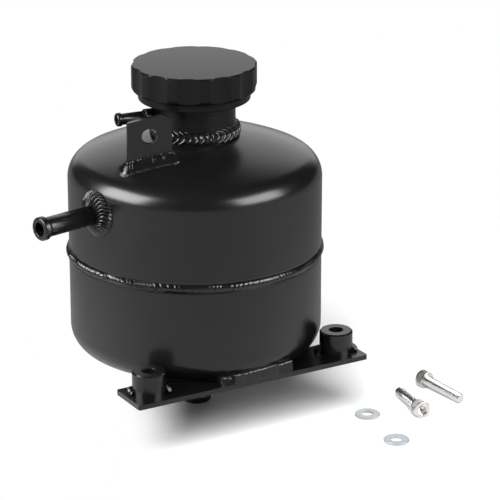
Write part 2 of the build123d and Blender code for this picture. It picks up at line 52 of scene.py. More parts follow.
seamLow, seamHigh = sizeOf("girth_weld")
shellLow, shellHigh = sizeOf("lower_shell")
neckLow, neckHigh = sizeOf("filler_neck")
knobLow, knobHigh = sizeOf("cap_knob")
floorHeight = sizeOf("outlet_barb")[0][2]  # the tank stands on its outlet
plateLow, plateHigh = sizeOf("bracket_plate")
bracketLow, bracketHigh = sizeOf("bracket_weld")
leftBossLow, leftBossHigh = sizeOf("left_boss")
rightBossLow, rightBossHigh = sizeOf("right_boss")
axisX, axisY = ((seamLow + seamHigh) / 2)[:2]
axisPoint = np.array([axisX, axisY, 0.0])
tankRadius = (shellHigh[0] - shellLow[0]) / 2
seamHeight = (seamLow[2] + seamHigh[2]) / 2

# Form of the tank that the boxes don't hold
tankForm = {
    "wall": 0.003,
    "cornerRadius": 0.0123,
    "domeRadius": 0.135,
    "upperCorner": 0.0889,
    "lowerCorner": 0.0132,
    "neckRadius": 0.0201,
    "outletRadius": 0.00635,
    "arcSamples": 40,
    "wallSamples": 12,
    "steps": 360,
}
cornerRing = tankRadius - tankForm["cornerRadius"]
domeFall = sqrt((tankForm["domeRadius"] - tankForm["cornerRadius"])**2 - cornerRing**2)
upperCentre = tankForm["upperCorner"] - domeFall
lowerCentre = tankForm["lowerCorner"] + domeFall


def domeTopAt(radius):
    return upperCentre + np.sqrt(tankForm["domeRadius"]**2 - radius**2)


def domeBottomAt(radius):
    return lowerCentre - np.sqrt(tankForm["domeRadius"]**2 - radius**2)


domeTop = domeTopAt(0)


# Mesh helpers

slack = 0.00001  # how near to a wall a point counts as on it


# A mesh from a (u, v) array of points, which can wrap round in each direction
def gridMesh(name, points, material, body, replaces=(), closeU=False, closeV=False, smooth=True):
    countU, countV = points.shape[:2]
    index = np.arange(countU * countV).reshape(countU, countV)
    if closeU:
        index = np.vstack([index, index[:1]])
    if closeV:
        index = np.hstack([index, index[:, :1]])
    quads = np.stack([index[:-1, :-1], index[1:, :-1], index[1:, 1:], index[:-1, 1:]], -1).reshape(-1, 4)
    mesh = bpy.data.meshes.new(name)
    mesh.vertices.add(countU * countV)
    mesh.vertices.foreach_set("co", points.reshape(-1).astype(np.float32))
    mesh.loops.add(quads.size)
    mesh.loops.foreach_set("vertex_index", quads.reshape(-1).astype(np.int32))
    mesh.polygons.add(len(quads))
    mesh.polygons.foreach_set("loop_start", np.arange(0, quads.size, 4, dtype=np.int32))
    mesh.polygons.foreach_set("use_smooth", np.full(len(quads), smooth))
    mesh.update(calc_edges=True)
    mesh.validate()
    piece = bpy.data.objects.new(name, mesh)
    bpy.context.scene.collection.objects.link(piece)
    mesh.materials.append(material)
    if body:
        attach(piece, body)
    if replaces:
        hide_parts(*replaces)
    return piece


# A closed (radius, height) outline, with an arc of its own size at each corner (radius, height, size)
def roundedProfile(corners, arcSteps=5, support=0.25):
    count = len(corners)
    outline = []
    for i in range(count):
        here = np.array(corners[i][:2], float)
        size = corners[i][2]
        if size <= 0:
            outline.append(here)
            continue
        before = np.array(corners[i - 1][:2], float)
        after = np.array(corners[(i + 1) % count][:2], float)
        toBefore = (before - here) / np.linalg.norm(before - here)
        toAfter = (after - here) / np.linalg.norm(after - here)
        half = np.arccos(np.clip(toBefore @ toAfter, -1, 1)) / 2
        cut = size / np.tan(half)
        middle = toBefore + toAfter
        centre = here + middle / np.linalg.norm(middle) * size / np.sin(half)
        start = here + toBefore * cut
        end = here + toAfter * cut
        outline.append(start + toBefore * size * support)
        for step in range(arcSteps + 1):
            share = step / arcSteps
            spoke = (start - centre) * (1 - share) + (end - centre) * share
            outline.append(centre + spoke / np.linalg.norm(spoke) * size)
        outline.append(end + toAfter * size * support)
    return np.array(outline)


# Sharp corners at even heights along a turned wall, for a thread or fine grooves
def wallSamples(radius, start, end, count):
    return [(radius, height, 0) for height in np.linspace(start, end, count)]


# Each profile point turned about Z: the angle along u, the profile along v
def turnPoints(profile, steps):
    angle = np.arange(steps) / steps * 2 * pi
    radius = profile[:, 0][None, :]
    height = np.broadcast_to(profile[:, 1][None, :], (steps, len(profile)))
    return np.stack([np.cos(angle)[:, None] * radius, np.sin(angle)[:, None] * radius, height], -1)


# Points turned about Z, with a push added to their distance from Z
def pushOut(points, push):
    radius = np.hypot(points[..., 0], points[..., 1])
    scale = np.where(radius > 1e-6, (radius + push) / np.maximum(radius, 1e-6), 1)
    return points * np.stack([scale, scale, np.ones_like(scale)], -1)


# The angle of each point about Z, in whole turns
def turnOf(points):
    return np.arctan2(points[..., 1], points[..., 0]) / (2 * pi)


# Which points lie on a turned wall of a radius, between two heights
def onWall(points, radius, low, high):
    near = np.abs(np.hypot(points[..., 0], points[..., 1]) - radius) < slack
    return near & (points[..., 2] > low - slack) & (points[..., 2] < high + slack)


# Points made about Z, laid with Z along outward from origin
def alongFrame(points, origin, outward):
    outward = np.array(outward, float)
    outward = outward / np.linalg.norm(outward)
    side = np.cross([0, 0, 1.0], outward)
    side = side / np.linalg.norm(side) if np.linalg.norm(side) > 1e-6 else np.array([1.0, 0, 0])
    upright = np.cross(outward, side)
    return origin + points[..., :1] * side + points[..., 1:2] * upright + points[..., 2:3] * outward


# The level direction at an azimuth in degrees
def radialWay(azimuth):
    return np.array([cos(radians(azimuth)), sin(radians(azimuth)), 0])


# Smooth noise between -1 and 1, with a number of knots, that repeats after count samples
def wander(count, knots, seed):
    values = np.random.default_rng(seed).uniform(-1, 1, knots)
    place = np.arange(count) / count * knots
    low = place.astype(int) % knots
    share = place % 1
    share = share * share * (3 - 2 * share)
    return values[low] * (1 - share) + values[(low + 1) % knots] * share


# Materials

def addNode(tree, kind, inputs=None, **settings):
    made = tree.nodes.new("ShaderNode" + kind)
    for name, value in settings.items():
        setattr(made, name, value)
    for name, value in (inputs or {}).items():
        if isinstance(value, bpy.types.NodeSocket):
            tree.links.new(value, made.inputs[name])
        else:
            made.inputs[name].default_value = value
    return made


finishes = {
    "tankPaint": {"colour": (0.003, 0.003, 0.0033), "roughness": 0.25, "grainHeight": 0.00005},
    "weldPaint": {"colour": (0.003, 0.003, 0.0033), "roughness": 0.14},
    # The neck's paint is the tank's paint with a weaker reflection: painted shade for the neck under the
    # cap
    "neckShadedPaint": {"colour": (0.003, 0.003, 0.0033), "roughness": 0.3, "ior": 1.3},
    "capPaint": {"colour": (0.003, 0.003, 0.0033), "roughness": 0.3, "ior": 1.26},
    "nickel": {"colour": (0.88, 0.86, 0.84), "roughness": 0.26, "metallic": 1},
    "zinc": {"colour": (0.6, 0.64, 0.67), "roughness": 0.38, "metallic": 1},
    "steel": {"colour": (0.5, 0.5, 0.52), "roughness": 0.3, "metallic": 1},
    "brass": {"colour": (0.72, 0.55, 0.28), "roughness": 0.3, "metallic": 1},
    "alloy": {"colour": (0.62, 0.63, 0.65), "roughness": 0.3, "metallic": 1},
    "rubber": {"colour": (0.012, 0.012, 0.012), "roughness": 0.7},
}
grain = {"scale": 2500, "detail": 2, "strength": 0.1, "height": 0.00003}


# A Principled material with a fine grain in its surface
def newMaterial(name, values):
    material = bpy.data.materials.new(name)
    material.use_nodes = True
    tree = material.node_tree
    shader = tree.nodes["Principled BSDF"]
    shader.inputs["Base Color"].default_value = (*values["colour"], 1)
    shader.inputs["Roughness"].default_value = values["roughness"]
    shader.inputs["Metallic"].default_value = values.get("metallic", 0)
    shader.inputs["IOR"].default_value = values.get("ior", 1.5)
    place = addNode(tree, "TexCoord")
    noise = addNode(tree, "TexNoise", {
        "Vector": place.outputs["Object"], "Scale": grain["scale"], "Detail": grain["detail"],
    })
    bump = addNode(tree, "Bump", {
        "Height": noise.outputs["Fac"], "Strength": grain["strength"],
        "Distance": values.get("grainHeight", grain["height"]),
    })
    tree.links.new(bump.outputs["Normal"], shader.inputs["Normal"])
    return material


materials = {name: newMaterial(name, values) for name, values in finishes.items()}
print("materials ready")


# CAD pieces that keep their own mesh: finish and width of the broken edges

cadFinish = {
    "support_tab": ("tankPaint", 0.0003),
    "bracket_plate": ("tankPaint", 0.0002),
    "left_boss": ("tankPaint", 0.0002),
    "right_boss": ("tankPaint", 0.0002),
    "cap_gasket": ("rubber", 0),
    "snap_ring": ("steel", 0),
    "valve_plug": ("alloy", 0.0002),
    "plug_o_ring": ("rubber", 0),
    "relief_valve_plate": ("brass", 0.0001),
    "relief_valve_seal": ("rubber", 0),
    "relief_spring": ("steel", 0),
    "vacuum_valve": ("brass", 0.0001),
    "vacuum_clip": ("steel", 0),
    "vacuum_spring": ("steel", 0),
}
cadEdges = {"angle": radians(35), "segments": 3}
for node, (finish, bevel) in cadFinish.items():
    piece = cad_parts[node]
    piece.data.materials.clear()
    piece.data.materials.append(materials[finish])
    piece.data.shade_smooth()
    if bevel:
        edges = piece.modifiers.new("edges", "BEVEL")
        edges.width = bevel
        edges.segments = cadEdges["segments"]
        edges.limit_method = "ANGLE"
        edges.angle_limit = cadEdges["angle"]
        edges.harden_normals = True
    else:
        piece.data.set_sharp_from_angle(angle=cadEdges["angle"])
print("plain pieces ready")


# Tank shells

# (radius, height) from the hole in the dome out over the corner, moved inwards by inset
def domeEnd(cornerHeight, side, holeRadius, inset):
    tangent = atan2(domeFall, cornerRing)
    dome = tankForm["domeRadius"] - inset
    corner = tankForm["cornerRadius"] - inset
    domeAngle = np.linspace(np.arccos(holeRadius / dome), tangent, tankForm["arcSamples"])
    cornerAngle = np.linspace(tangent, 0, tankForm["arcSamples"])[1:]
    domePart = np.stack([
        dome * np.cos(domeAngle),
        cornerHeight + side * (dome * np.sin(domeAngle) - domeFall),
    ], -1)
    cornerPart = np.stack([
        cornerRing + corner * np.cos(cornerAngle),
        cornerHeight + side * corner * np.sin(cornerAngle),
    ], -1)
    return np.vstack([domePart, cornerPart])


def tankShell(name, cornerHeight, side, holeRadius):
    outer = domeEnd(cornerHeight, side, holeRadius, 0)
    inner = domeEnd(cornerHeight, side, holeRadius, tankForm["wall"])
    wallHeights = np.linspace(cornerHeight, seamHeight, tankForm["wallSamples"])[1:]
    outerWall = np.stack([np.full_like(wallHeights, tankRadius), wallHeights], -1)
    innerWall = outerWall - [tankForm["wall"], 0]
    profile = np.vstack([outer, outerWall, innerWall[::-1], inner[::-1]])
    points = axisPoint + turnPoints(profile, tankForm["steps"])
    if side > 0:
        points = points[:, ::-1]
    gridMesh(name + "Skin", points, materials["tankPaint"], "tank", [name], closeU=True, closeV=True)


tankShell("upper_shell", tankForm["upperCorner"], 1, tankForm["neckRadius"])
tankShell("lower_shell", tankForm["lowerCorner"], -1, tankForm["outletRadius"])
print("shells ready")


# Rippled weld beads

# A bead between two rails of points. Across it, t runs from 0 on the first rail to 1 on the second,
# and it swells by bulge * (1 - |2t - 1|^flatness) along outward. The ripples are humps between creases
# that bow back at both toes: phase = station + curve * (2t - 1)^2 + slant * (2t - 1), where a station
# is one ripple long and wanders by drift and jitter, and the height of a hump is sin(pi * phase^0.65)
# of the phase's fraction. A list of strengths scales the ripples along the bead, at even places from
# its start. An open bead narrows to 0.35 of its width at both ends. The outward pair in a look holds
# the parts of that way along the level and up, or for the side spigot out from its tube and along it.
def rippledWeld(name, node, first, second, outward, look, closed=True):
    count = len(first)
    ripples = look["ripples"]
    seed = look["seed"]
    t = (1 - np.cos(np.linspace(0, pi, look["across"])))[None, :, None] / 2
    swell = 1 - np.abs(2 * t - 1)**look.get("flatness", 2)
    station = np.arange(count) / count * ripples
    station = station + look.get("drift", 0.5) * wander(count, max(ripples // 5, 3), seed)
    station = station + look.get("jitter", 0.22) * wander(count, ripples, seed + 3)
    uneven = 1 + look.get("uneven", 0.4) * wander(count, ripples // 2 + 3, seed + 7)
    strength = look.get("strength", [1])
    uneven = uneven * np.interp(np.linspace(0, 1, count), np.linspace(0, 1, len(strength)), strength)
    phase = station[:, None, None] + look["curve"] * (2 * t - 1)**2 + look.get("slant", 0) * (2 * t - 1)
    hump = np.sin(pi * (phase % 1)**0.65)
    fuller = 1 + look.get("lumps", 0.15) * wander(count, max(ripples // 4, 3), seed + 11)
    lift = look["bulge"] * fuller[:, None, None] * swell
    lift = lift + look["ripple"] * uneven[:, None, None] * hump * swell**0.5
    ends = np.ones((count, 1, 1))
    if not closed:
        place = np.arange(count)[:, None, None] / (count - 1)
        ends = np.sqrt(np.clip(np.minimum(place, 1 - place) / look.get("taper", 0.12), 0, 1))
    middle = (first + second)[:, None, :] / 2
    flat = first[:, None, :] * (1 - t) + second[:, None, :] * t
    points = middle + (flat - middle) * (0.35 + 0.65 * ends)
    points = points + outward[:, None, :] * (lift * ends - look.get("sink", 0.0002))
    gridMesh(name, points, materials["weldPaint"], "tank", [node] if node else (), closeU=closed)


# A level ring of points about the tank's axis
def circleRail(radius, height, count):
    angle = np.arange(count) / count * 2 * pi
    ring = np.stack([np.cos(angle) * radius, np.sin(angle) * radius, np.full(count, height)], -1)
    return axisPoint + ring


# Outward directions round a fillet about the tank's axis, level and upward parts as given
def ringOutward(count, level, up):
    angle = np.arange(count) / count * 2 * pi
    return np.stack([np.cos(angle) * level, np.sin(angle) * level, np.full(count, up)], -1)


girthLook = {
    "width": 0.0046, "bulge": 0.00105, "ripple": 0.00055, "ripples": 170, "curve": 0.8, "slant": 0.5,
    "drift": 0.9, "jitter": 0.3, "uneven": 0.7, "lumps": 0.2, "samples": 12, "across": 16, "seed": 3,
    "strength": [
        0.6, 0.5, 0.4, 0.5, 0.6, 0.7, 0.5, 0.6, 0.9, 1.3, 1.4,
        1.4, 1.4, 0.3, 0.6, 0.3, 0.3, 0.5, 0.6, 0.5, 0.6,
    ],
}
girthCount = girthLook["ripples"] * girthLook["samples"]
rippledWeld(
    "girthBead", "girth_weld",
    circleRail(tankRadius, seamHeight + girthLook["width"] / 2, girthCount),
    circleRail(tankRadius, seamHeight - girthLook["width"] / 2, girthCount),
    ringOutward(girthCount, 1, 0), girthLook,
)

neckLook = {
    "leg": 0.0018, "rise": 0.0063, "bulge": 0.0005, "ripple": 0.0009, "ripples": 40, "curve": 1.1,
    "drift": 0.5, "uneven": 0.4, "lumps": 0.5, "flatness": 3, "samples": 24, "across": 28, "seed": 5,
    "outward": (0.92, 0.39),
    "strength": [1, 1, 1, 1, 1, 1, 1, 1, 1, 1, 1.1, 1.1, 1.2, 0.5, 1, 1, 1, 1, 1, 1, 1],
}
neckCount = neckLook["ripples"] * neckLook["samples"]
neckToe = tankForm["neckRadius"] + neckLook["leg"]
rippledWeld(
    "neckBead", "neck_weld",
    circleRail(tankForm["neckRadius"], domeTopAt(neckToe) + neckLook["rise"], neckCount),
    circleRail(neckToe, domeTopAt(neckToe), neckCount),
    ringOutward(neckCount, *neckLook["outward"]), neckLook,
)

outletLook = {
    "leg": 0.0032, "bulge": 0.0006, "ripple": 0.0004, "ripples": 24, "curve": 0.9, "samples": 14,
    "across": 14, "seed": 6, "outward": (0.7, -0.7),
}
outletCount = outletLook["ripples"] * outletLook["samples"]
outletToe = tankForm["outletRadius"] + outletLook["leg"]
rippledWeld(
    "outletBead", "outlet_weld",
    circleRail(outletToe, domeBottomAt(outletToe), outletCount),
    circleRail(tankForm["outletRadius"], domeBottomAt(outletToe) - outletLook["leg"], outletCount),
    ringOutward(outletCount, *outletLook["outward"]), outletLook,
)


# Hose spigots

# Roundings of every spigot's end, and how far its tube reaches in past the tank's wall
barbEdges = {
    "bore": 0.0004, "mouth": 0.0010, "heel": 0.0006, "foot": 0.0004, "heelSlope": 1.4, "inside": 0.0015,
    "steps": 96,
}


# A bored tube with a rounded bead behind its mouth, turned about its own axis
def spigot(name, node, origin, outward, start, tip, form):
    beadStart = tip - form["beadLength"]
    heelRise = barbEdges["heelSlope"] * (form["bead"] - form["tube"])
    profile = roundedProfile([
        (form["bore"], start, 0),
        (form["bore"], tip, barbEdges["bore"]),
        (form["bead"], tip, barbEdges["mouth"]),
        (form["bead"], beadStart + heelRise, barbEdges["heel"]),
        (form["tube"], beadStart, barbEdges["foot"]),
        (form["tube"], start, 0),
    ])
    points = alongFrame(turnPoints(profile, barbEdges["steps"]), np.array(origin), outward)
    gridMesh(name, points[:, ::-1], materials["tankPaint"], "tank", [node], closeU=True, closeV=True)


sideBarb = {
    "azimuth": 191.5, "height": 0.0825, "reach": 0.0963, "tube": 0.00475, "bead": 0.00575, "bore": 0.0033,
    "beadLength": 0.0044,
}
sideWay = radialWay(sideBarb["azimuth"])
sideOrigin = axisPoint + np.array([0, 0, sideBarb["height"]])
barbStart = tankRadius - tankForm["wall"] - barbEdges["inside"]
spigot("sideBarbTube", "side_barb", sideOrigin, sideWay, barbStart, sideBarb["reach"], sideBarb)

overflowBarb = {
    "azimuth": 174.0, "rise": 0.0097, "start": 0.0178, "reach": 0.041, "tube": 0.0028, "bead": 0.00335,
    "bore": 0.00175, "beadLength": 0.0029, "collar": 0.0036, "collarStart": 0.0190, "collarEnd": 0.0265,
    "collarSteps": 64,
}
overflowWay = radialWay(overflowBarb["azimuth"])
overflowOrigin = axisPoint + np.array([0, 0, domeTop + overflowBarb["rise"]])
spigot(
    "overflowTube", "overflow_barb", overflowOrigin, overflowWay,
    overflowBarb["start"], overflowBarb["reach"], overflowBarb,
)
collarProfile = roundedProfile([
    (overflowBarb["tube"], overflowBarb["collarStart"], 0),
    (overflowBarb["tube"], overflowBarb["collarEnd"], 0.0002),
    (overflowBarb["collar"], overflowBarb["collarEnd"], 0.0003),
    (overflowBarb["collar"], overflowBarb["collarStart"], 0),
])
collarPoints = turnPoints(collarProfile, overflowBarb["collarSteps"])[:, ::-1]
collarPoints = alongFrame(collarPoints, overflowOrigin, overflowWay)
gridMesh("overflowCollar", collarPoints, materials["tankPaint"], "tank", closeU=True, closeV=True)

outletBarb = {"tube": 0.00635, "bead": 0.0073, "bore": 0.00475, "beadLength": 0.0048}
outletStart = -(domeBottomAt(0) + tankForm["wall"] + barbEdges["inside"])
spigot("outletTube", "outlet_barb", axisPoint, (0, 0, -1), outletStart, -floorHeight, outletBarb)

# The side spigot's weld runs round the tube, out to the curved wall
sideLook = {
    "inner": 0.0047, "outer": 0.0116, "lift": 0.0034, "bulge": 0.0005, "ripple": 0.0011, "ripples": 28,
    "curve": 1.3, "drift": 0.3, "jitter": 0.12, "uneven": 0.3, "flatness": 3, "samples": 24,
    "across": 34, "seed": 11, "outward": (0.45, 0.89),
    "strength": [1, 1.1, 1.1, 1, 0.5, 0.4, 0.4, 0.3, 0.25, 0.25, 0.3, 0.4, 0.8, 1],
}
sideCount = sideLook["ripples"] * sideLook["samples"]
sideAngle = np.arange(sideCount) / sideCount * 2 * pi
acrossTube = np.array([-sideWay[1], sideWay[0], 0])
sideSpoke = np.cos(sideAngle)[:, None] * acrossTube + np.sin(sideAngle)[:, None] * np.array([0, 0, 1.0])
wallAway = np.sqrt(tankRadius**2 - (np.cos(sideAngle) * sideLook["outer"])**2)
rippledWeld(
    "sideBarbBead", "side_barb_weld",
    sideOrigin + sideSpoke * sideLook["inner"] + sideWay * (tankRadius + sideLook["lift"]),
    sideOrigin + sideSpoke * sideLook["outer"] + sideWay * wallAway[:, None],
    sideSpoke * sideLook["outward"][0] + sideWay * sideLook["outward"][1], sideLook,
)
print("spigots ready")


# Support tab's weld, round the foot of the tab on the dome

tabForm = {
    "distance": 0.0416, "azimuth": 210.1, "turn": -20.0, "width": 0.0215, "thickness": 0.0025,
    "edge": 0.0004,
}
tabLook = {
    "leg": 0.0042, "rise": 0.0037, "bulge": 0.0004, "ripple": 0.0001, "ripples": 52, "curve": 0.9,
    "slant": 0.5, "drift": 0.6, "uneven": 0.8, "lumps": 0.5, "flatness": 6, "samples": 18,
    "across": 32, "seed": 21, "outward": (0.75, 0.66),
}
tabAlong = radialWay(tabForm["turn"])
tabBack = np.array([-tabAlong[1], tabAlong[0], 0])
tabFoot = axisPoint + radialWay(tabForm["azimuth"]) * tabForm["distance"]


# Core line and outward direction of a rounded rectangle round the tab's foot, at even steps along the
# middle of its weld: each of the four sides is a straight run and then a quarter turn
def tabOutline(count):
    coreX = tabForm["width"] / 2 - tabForm["edge"]
    coreY = tabForm["thickness"] / 2 - tabForm["edge"]
    cornerRun = (tabForm["edge"] + tabLook["leg"] / 2) * pi / 2
    runEnds = np.cumsum([0] + [2 * coreY, cornerRun, 2 * coreX, cornerRun] * 2)
    cornersX = np.array([coreX, coreX, -coreX, -coreX, coreX])
    cornersY = np.array([-coreY, coreY, coreY, -coreY, -coreY])
    along = np.arange(count) / count * runEnds[-1]
    run = np.searchsorted(runEnds, along, side="right") - 1
    share = (along - runEnds[run]) / np.diff(runEnds)[run]
    side = run // 2
    straight = run % 2 == 0
    step = np.where(straight, share, 1.0)[:, None]
    coreX = cornersX[side, None] * (1 - step) + cornersX[side + 1, None] * step
    coreY = cornersY[side, None] * (1 - step) + cornersY[side + 1, None] * step
    facing = (side * pi / 2 + np.where(straight, 0, share * pi / 2))[:, None]
    coreLine = tabFoot + coreX * tabAlong + (coreY + tabForm["thickness"] / 2) * tabBack
    return coreLine, np.cos(facing) * tabAlong + np.sin(facing) * tabBack


tabCore, tabOutward = tabOutline(tabLook["ripples"] * tabLook["samples"])


# A rail round the tab's foot, at a distance from the core line and a rise above the dome
def tabRail(distance, rise):
    points = tabCore + tabOutward * distance
    away = np.hypot(points[:, 0] - axisX, points[:, 1] - axisY)
    return np.stack([points[:, 0], points[:, 1], domeTopAt(away) + rise], -1)


# The way that a bead round the tab swells, from the outward pair in its look
def tabSwell(look):
    return tabOutward * look["outward"][0] + np.array([0, 0, look["outward"][1]])


tabToe = tabForm["edge"] + tabLook["leg"]
rippledWeld(
    "tabBead", "tab_weld",
    tabRail(tabForm["edge"], tabLook["rise"]), tabRail(tabToe, 0), tabSwell(tabLook), tabLook,
)

# Two thin beads along the edges of that weld: lumps at the tab's face and slanted ripples on the dome
tabUpperLook = {
    "above": 0.00066, "below": 0.00022, "reach": 0.0007, "bulge": 0.0003, "ripple": 0.0002, "ripples": 30,
    "curve": 0.5, "uneven": 0.8, "lumps": 0.9, "across": 10, "seed": 23, "outward": (0.7, 0.7),
}
rippledWeld(
    "tabUpperBead", None,
    tabRail(tabForm["edge"], tabLook["rise"] + tabUpperLook["above"]),
    tabRail(tabForm["edge"] + tabUpperLook["reach"], tabLook["rise"] - tabUpperLook["below"]),
    tabSwell(tabUpperLook), tabUpperLook,
)
tabLowerLook = {
    "inside": 0.0013, "outside": 0.00026, "lift": 0.0008, "bulge": 0.0003, "ripple": 0.0005,
    "ripples": 78, "curve": 0.3, "slant": 1.2, "uneven": 0.7, "lumps": 0.6, "across": 12, "seed": 24,
    "outward": (0.6, 0.8),
}
rippledWeld(
    "tabLowerBead", None,
    tabRail(tabToe - tabLowerLook["inside"], tabLowerLook["lift"]),
    tabRail(tabToe + tabLowerLook["outside"], 0),
    tabSwell(tabLowerLook), tabLowerLook,
)


# Tack welds beside both bosses

tackLook = {
    "leg": 0.0026, "rise": 0.0030, "halfAngle": 22.0, "bulge": 0.0002, "ripple": 0.0009, "ripples": 3,
    "curve": 0.4, "jitter": 0.1, "taper": 0.3, "samples": 20, "across": 18, "seed": 31, "turn": -20.0,
    "outward": (0.7, 0.7),
}
tackCount = tackLook["ripples"] * tackLook["samples"]
tackNumber = 0
for bossLow, bossHigh in ((leftBossLow, leftBossHigh), (rightBossLow, rightBossHigh)):
    bossMiddle = (bossLow + bossHigh) / 2
    bossRadius = (bossHigh[0] - bossLow[0]) / 2
    foot = np.array([bossMiddle[0], bossMiddle[1], bossLow[2]])
    for side in (0, 180):
        tackNumber += 1
        angle = side + tackLook["turn"] + np.linspace(-1, 1, tackCount) * tackLook["halfAngle"]
        outward = np.stack([np.cos(np.radians(angle)), np.sin(np.radians(angle)), np.zeros(tackCount)], -1)
        rippledWeld(
            "bossTack%d" % tackNumber, "boss_welds" if tackNumber == 1 else None,
            foot + outward * bossRadius + [0, 0, tackLook["rise"]],
            foot + outward * (bossRadius + tackLook["leg"]),
            outward * tackLook["outward"][0] + np.array([0, 0, tackLook["outward"][1]]),
            {**tackLook, "seed": tackLook["seed"] + tackNumber}, closed=False,
        )


# Heavy weld between the plate and the tank: an upright face over the plate's front edge, with lumps
# along its shoulder, and a top that runs back to the tank's lower corner

bracketLook = {
    "top": 0.0078, "climb": 0.0008, "shoulder": 0.0012, "shoulderDrop": 0.0006, "lean": 0.0004,
    "follow": 0.3, "shelf": 0.0015, "inset": 0.00015, "footSink": 0.0003, "bite": 0.0004, "root": 0.002,
    "endLength": 0.0012, "lump": 0.0005, "lumps": 15, "grain": 0.0002, "grains": 60, "across": 12,
    "samples": 600, "seed": 41,
}
bracketCount = bracketLook["samples"]
bracketX = np.linspace(bracketLow[0], bracketHigh[0], bracketCount)
bracketFoot = plateHigh[2] - bracketLook["footSink"]
bracketFront = plateLow[1] + bracketLook["inset"]
bracketTop = bracketLook["top"] + bracketLook["climb"] * np.linspace(-1, 1, bracketCount)
tankAtTop = cornerRing + np.sqrt(tankForm["cornerRadius"]**2 - (tankForm["lowerCorner"] - bracketTop)**2)
tankFront = axisY - np.sqrt(tankAtTop**2 - (bracketX - axisX)**2) + bracketLook["bite"]
coarse = wander(bracketCount, bracketLook["lumps"], bracketLook["seed"])
fine = wander(bracketCount, bracketLook["grains"], bracketLook["seed"] + 1)
bracketLumps = coarse * bracketLook["lump"] + fine * bracketLook["grain"]
shoulderFront = bracketFront + bracketLook["lean"]
shelfLeft = np.maximum(tankFront - shoulderFront - bracketLook["shelf"], 0)
shoulderFront = shoulderFront + bracketLook["follow"] * shelfLeft


# A line of points along the bracket, with its own front and height at each
def bracketLine(front, height):
    return np.stack([bracketX, front + 0 * bracketX, height + 0 * bracketX], -1)


# The bead's outline in one section: straight up from the foot, a bow round the shoulder, straight back
footLine = bracketLine(bracketFront, bracketFoot)
shoulderHeight = bracketTop - bracketLook["shoulderDrop"] + bracketLumps
shoulderLine = bracketLine(shoulderFront - bracketLumps * 0.5, shoulderHeight)
backLine = bracketLine(tankFront, bracketTop + bracketLumps * 0.3)
toFoot = footLine - shoulderLine
toBack = backLine - shoulderLine
footAway = np.linalg.norm(toFoot, axis=1)[:, None]
backAway = np.linalg.norm(toBack, axis=1)[:, None]
bow = np.minimum(bracketLook["shoulder"], backAway * 0.8)
bowStart = shoulderLine + toFoot / footAway * bow
bowEnd = shoulderLine + toBack / backAway * bow
share = np.linspace(0, 1, bracketLook["across"])[None, :, None]


# Points from one line to another, by share
def acrossBead(start, end):
    return start[:, None] * (1 - share) + end[:, None] * share


frontFace = acrossBead(footLine, bowStart)
shoulderBow = acrossBead(bowStart, shoulderLine) * (1 - share) + acrossBead(shoulderLine, bowEnd) * share
topFace = acrossBead(bowEnd, backLine)
section = np.concatenate([frontFace, shoulderBow[:, 1:-1], topFace], axis=1)

# Both ends close in on a line inside the weld
endShare = np.minimum(bracketX - bracketX[0], bracketX[-1] - bracketX) / bracketLook["endLength"]
endShare = np.sqrt(np.clip(endShare, 0, 1))[:, None, None]
root = bracketLine(tankFront + bracketLook["root"], bracketFoot)[:, None]
bracketPoints = root + (section - root) * endShare
gridMesh("bracketBead", bracketPoints, materials["weldPaint"], "tank", ["bracket_weld"])
print("welds ready")


# Filler neck, with fine turned lines on its stem and the cap's thread on its head

neckForm = {
    "bore": 0.015, "upperBore": 0.0176, "head": 0.0225, "headStart": 0.0168, "shoulder": 0.0055,
    "linePitch": 0.0009, "lineDepth": 0.00006, "lineSamples": 110, "lineMargin": 0.001,
    "threadPitch": 0.004, "threadDepth": 0.0006, "threadSamples": 48, "threadMargin": 0.0012, "steps": 240,
}
flare = neckForm["upperBore"] - neckForm["bore"]
headStart = domeTop + neckForm["headStart"]
headStep = neckForm["head"] - tankForm["neckRadius"]
headFoot = headStart - headStep
threadStart = headStart + neckForm["threadMargin"]
threadEnd = neckHigh[2] - neckForm["threadMargin"]
lineStart = domeTop + neckForm["lineMargin"]
lineEnd = headFoot - neckForm["lineMargin"]
neckCorners = [
    (neckForm["bore"], neckLow[2], 0),
    (neckForm["bore"], domeTop + neckForm["shoulder"], 0.0002),
    (neckForm["upperBore"], domeTop + neckForm["shoulder"] + flare, 0.0002),
    (neckForm["upperBore"], neckHigh[2], 0.0003),
    (neckForm["head"], neckHigh[2], 0.0008),
    *wallSamples(neckForm["head"], threadEnd, threadStart, neckForm["threadSamples"]),
    (neckForm["head"], headStart, 0.0003),
    (tankForm["neckRadius"], headFoot, 0.0005),
    *wallSamples(tankForm["neckRadius"], lineEnd, lineStart, neckForm["lineSamples"]),
    (tankForm["neckRadius"], neckLow[2], 0),
]
neckPoints = turnPoints(roundedProfile(neckCorners), neckForm["steps"])


# A thread's groove between 0 and 1: its crests lie where height / pitch - turn is a whole number,
# and it fades out at both ends
def threadGroove(points, low, high, pitch):
    phase = points[..., 2] / pitch - turnOf(points)
    fade = np.clip(np.minimum(points[..., 2] - low, high - points[..., 2]) / (pitch / 4), 0, 1)
    return (0.5 - 0.5 * np.cos(2 * pi * phase)) * fade


onNeckHead = onWall(neckPoints, neckForm["head"], threadStart, threadEnd)
onNeckStem = onWall(neckPoints, tankForm["neckRadius"], domeTop, headFoot)
neckGroove = threadGroove(neckPoints, threadStart, threadEnd, neckForm["threadPitch"])
turnedLines = 0.5 - 0.5 * np.cos(2 * pi * neckPoints[..., 2] / neckForm["linePitch"])
headDepth = onNeckHead * neckGroove * neckForm["threadDepth"]
stemDepth = onNeckStem * turnedLines * neckForm["lineDepth"]
neckPoints = axisPoint + pushOut(neckPoints, -headDepth - stemDepth)
gridMesh("neckTube", neckPoints, materials["neckShadedPaint"], "tank", ["filler_neck"], closeU=True, closeV=True)


# Cap knob: twelve lobes between shallow scallops, and a thread in its bore

